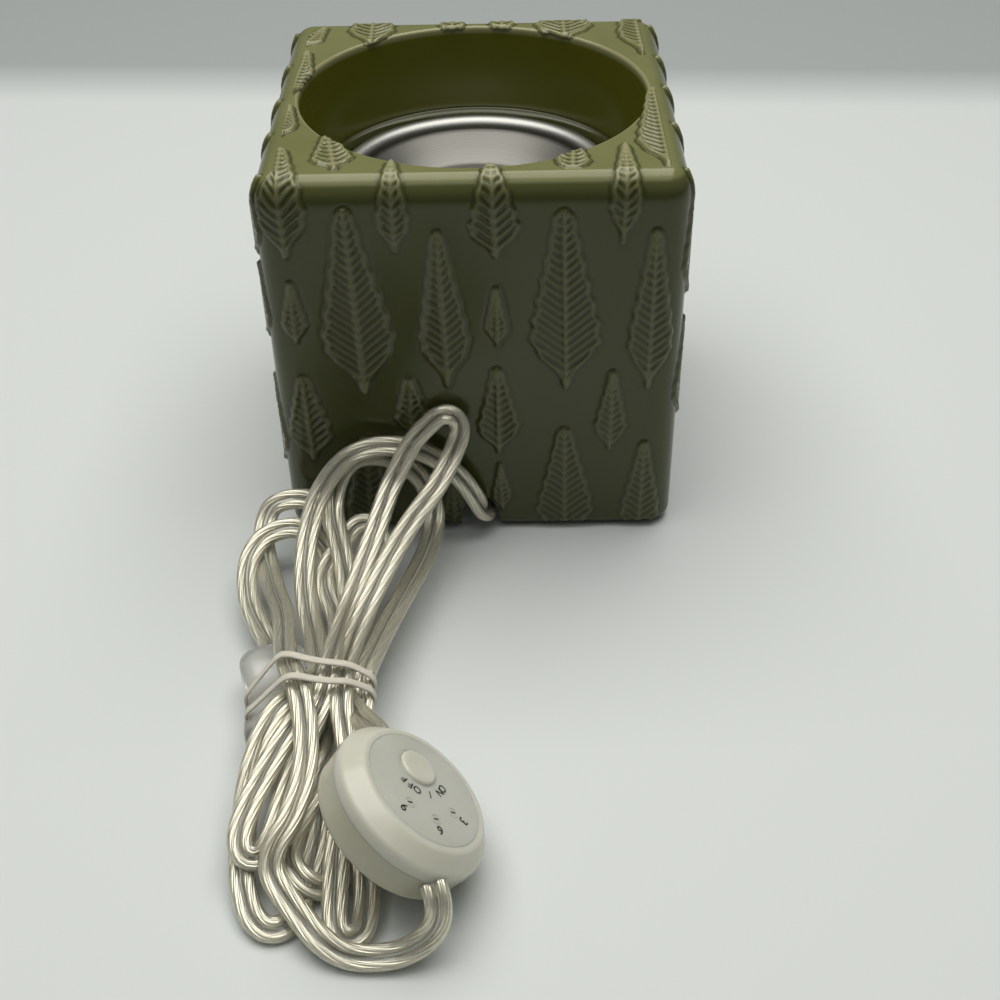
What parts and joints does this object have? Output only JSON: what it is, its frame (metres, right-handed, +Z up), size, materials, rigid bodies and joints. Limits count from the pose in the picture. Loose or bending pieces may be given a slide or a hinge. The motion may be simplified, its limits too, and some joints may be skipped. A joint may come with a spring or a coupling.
{
  "type": "electric wax warmer",
  "caption": "Hollow glazed ceramic cube with a leaf relief, a lift-out dish over a small heater plate, and a clear flat cord with an inline timer, tied in a hank with its plug.",
  "frame": {"origin": "bottom centre of the cube, on the floor under its feet", "axes": "+Z up out of the well, -Y towards the side that the cord leaves, +X to the right when that side is seen"},
  "size_m": [0.1357, 0.2918, 0.1265],
  "materials": {
    "olive_glaze": "gloss olive glaze",
    "satin_aluminium": "satin",
    "plated_steel": "plated",
    "dark_steel": "dark coated sheet",
    "screw_steel": "plated",
    "brass": "polished",
    "foot_rubber": "matt",
    "mica_sheet": "pressed sheet",
    "heating_strip": "oxidised strip",
    "steatite": "matt",
    "fuse_case": "plated",
    "crimp_sleeve": "shrunk sleeve",
    "glass_fibre_sleeve": "braided sleeve",
    "black_plastic": "matt",
    "milky_plastic": "milky translucent",
    "label_film": "satin film",
    "board_green": "solder mask",
    "led_clear": "clear resin",
    "clear_cord": "clear PVC over tinned strands",
    "rubber_band": "matt"
  },
  "bodies": {
    "warmer": {"ceramic_body": "olive_glaze", "base_plate": "dark_steel", "base_screw_1": "screw_steel", "base_screw_2": "screw_steel", "base_screw_3": "screw_steel", "base_screw_4": "screw_steel", "rubber_foot_1": "foot_rubber", "rubber_foot_2": "foot_rubber", "rubber_foot_3": "foot_rubber", "rubber_foot_4": "foot_rubber", "heater_post_1": "plated_steel", "heater_post_2": "plated_steel", "heater_post_3": "plated_steel", "post_screw_1": "screw_steel", "post_screw_2": "screw_steel", "post_screw_3": "screw_steel", "tray_nut_1": "screw_steel", "tray_nut_2": "screw_steel", "tray_nut_3": "screw_steel", "heat_plate": "satin_aluminium", "mica_upper": "mica_sheet", "heating_element": "heating_strip", "mica_lower": "mica_sheet", "clamp_disc": "plated_steel", "spacer_bush": "steatite", "heater_tray": "dark_steel", "stud_nut": "screw_steel", "thermal_fuse": "fuse_case", "fuse_clip": "plated_steel", "crimp_live": "crimp_sleeve", "crimp_neutral": "crimp_sleeve", "lead_live": "glass_fibre_sleeve", "lead_neutral": "glass_fibre_sleeve", "fuse_lead": "glass_fibre_sleeve", "cord_clamp": "black_plastic", "clamp_screw_1": "screw_steel", "clamp_screw_2": "screw_steel", "timer_upper_shell": "milky_plastic", "timer_lower_shell": "milky_plastic", "timer_screw_1": "screw_steel", "timer_screw_2": "screw_steel", "timer_label": "label_film", "circuit_board": "board_green", "tact_switch": "black_plastic", "timer_led_1": "led_clear", "timer_led_2": "led_clear", "timer_led_3": "led_clear", "timer_relay": "black_plastic", "timer_capacitor": "crimp_sleeve", "plug_body": "clear_cord", "plug_blade_live": "brass", "plug_blade_neutral": "brass", "cord_hank": "clear_cord", "rubber_band": "rubber_band", "cord_lead": "clear_cord", "cord_to_timer": "clear_cord", "cord_from_timer": "clear_cord"},
    "dish": {"wax_dish": "satin_aluminium"},
    "button": {"timer_button": "milky_plastic"}
  },
  "joints": [
    {"name": "dish_lift", "type": "slide", "parent": "warmer", "child": "dish", "axis": [0, 0, 1], "range_m": [0, 0.06]},
    {"name": "button_press", "type": "slide", "parent": "warmer", "child": "button", "axis": [-0.652, -0.1505, -0.7431], "range_m": [0, 0.0007], "stiffness_N_per_m": 800}
  ]
}
